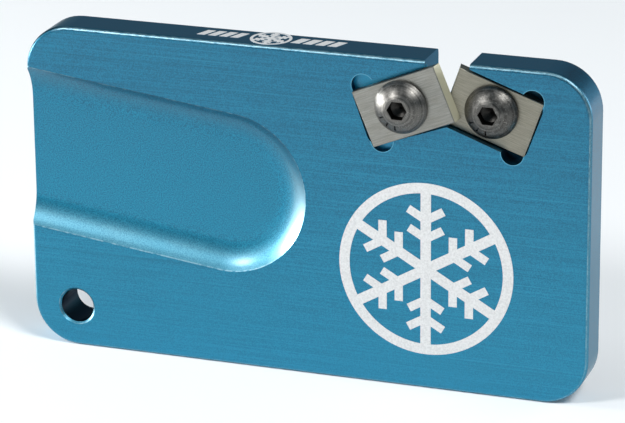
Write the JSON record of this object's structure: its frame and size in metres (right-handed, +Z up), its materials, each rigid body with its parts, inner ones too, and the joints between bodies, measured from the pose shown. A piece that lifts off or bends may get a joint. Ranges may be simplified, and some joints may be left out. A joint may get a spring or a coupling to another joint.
{
  "type": "edge tuning tool",
  "caption": "Pocket edge tuner: anodised aluminium block with a thumb groove, a lanyard hole and a top notch where two crossed carbide plates, held by button-head screws, form a V.",
  "frame": {"origin": "centre of the block's flat bottom face, on which it stands", "axes": "+X along the block's length towards the cutters, +Z up towards the notch, +Y from the front face with the groove and cutters to the plain back face"},
  "size_m": [0.0826, 0.009, 0.0479],
  "materials": {
    "blue_anodised": "blue anodised, brushed lengthwise",
    "carbide": "ground satin grey",
    "dark_steel": "black-oxide with worn highlights",
    "white_mark": "matt white etched mark"
  },
  "bodies": {
    "block": {"body_block": "blue_anodised"},
    "left_cutter": {"left_cutter": "carbide"},
    "right_cutter": {"right_cutter": "carbide"},
    "left_screw": {"left_screw": "dark_steel"},
    "right_screw": {"right_screw": "dark_steel"}
  },
  "joints": [
    {"name": "left_cutter_lift", "type": "slide", "parent": "block", "child": "left_cutter", "axis": [0, -1, 0], "range_m": [0, 0.0035]},
    {"name": "right_cutter_lift", "type": "slide", "parent": "block", "child": "right_cutter", "axis": [0, -1, 0], "range_m": [0, 0.0035]},
    {"name": "left_screw_turn", "type": "hinge", "parent": "left_cutter", "child": "left_screw", "pos_m": [0.01464, -0.003, 0.0412], "axis": [0, -1, 0], "range_deg": [0, 1800]},
    {"name": "right_screw_turn", "type": "hinge", "parent": "right_cutter", "child": "right_screw", "pos_m": [0.027, -0.003, 0.0412], "axis": [0, -1, 0], "range_deg": [0, 1800]}
  ],
  "couplings": [
    {"joint": "left_screw_turn", "follows": "left_cutter_lift", "rad_per_m": 8976},
    {"joint": "right_screw_turn", "follows": "left_cutter_lift", "rad_per_m": 8976},
    {"joint": "right_cutter_lift", "follows": "left_cutter_lift", "ratio": 1}
  ]
}
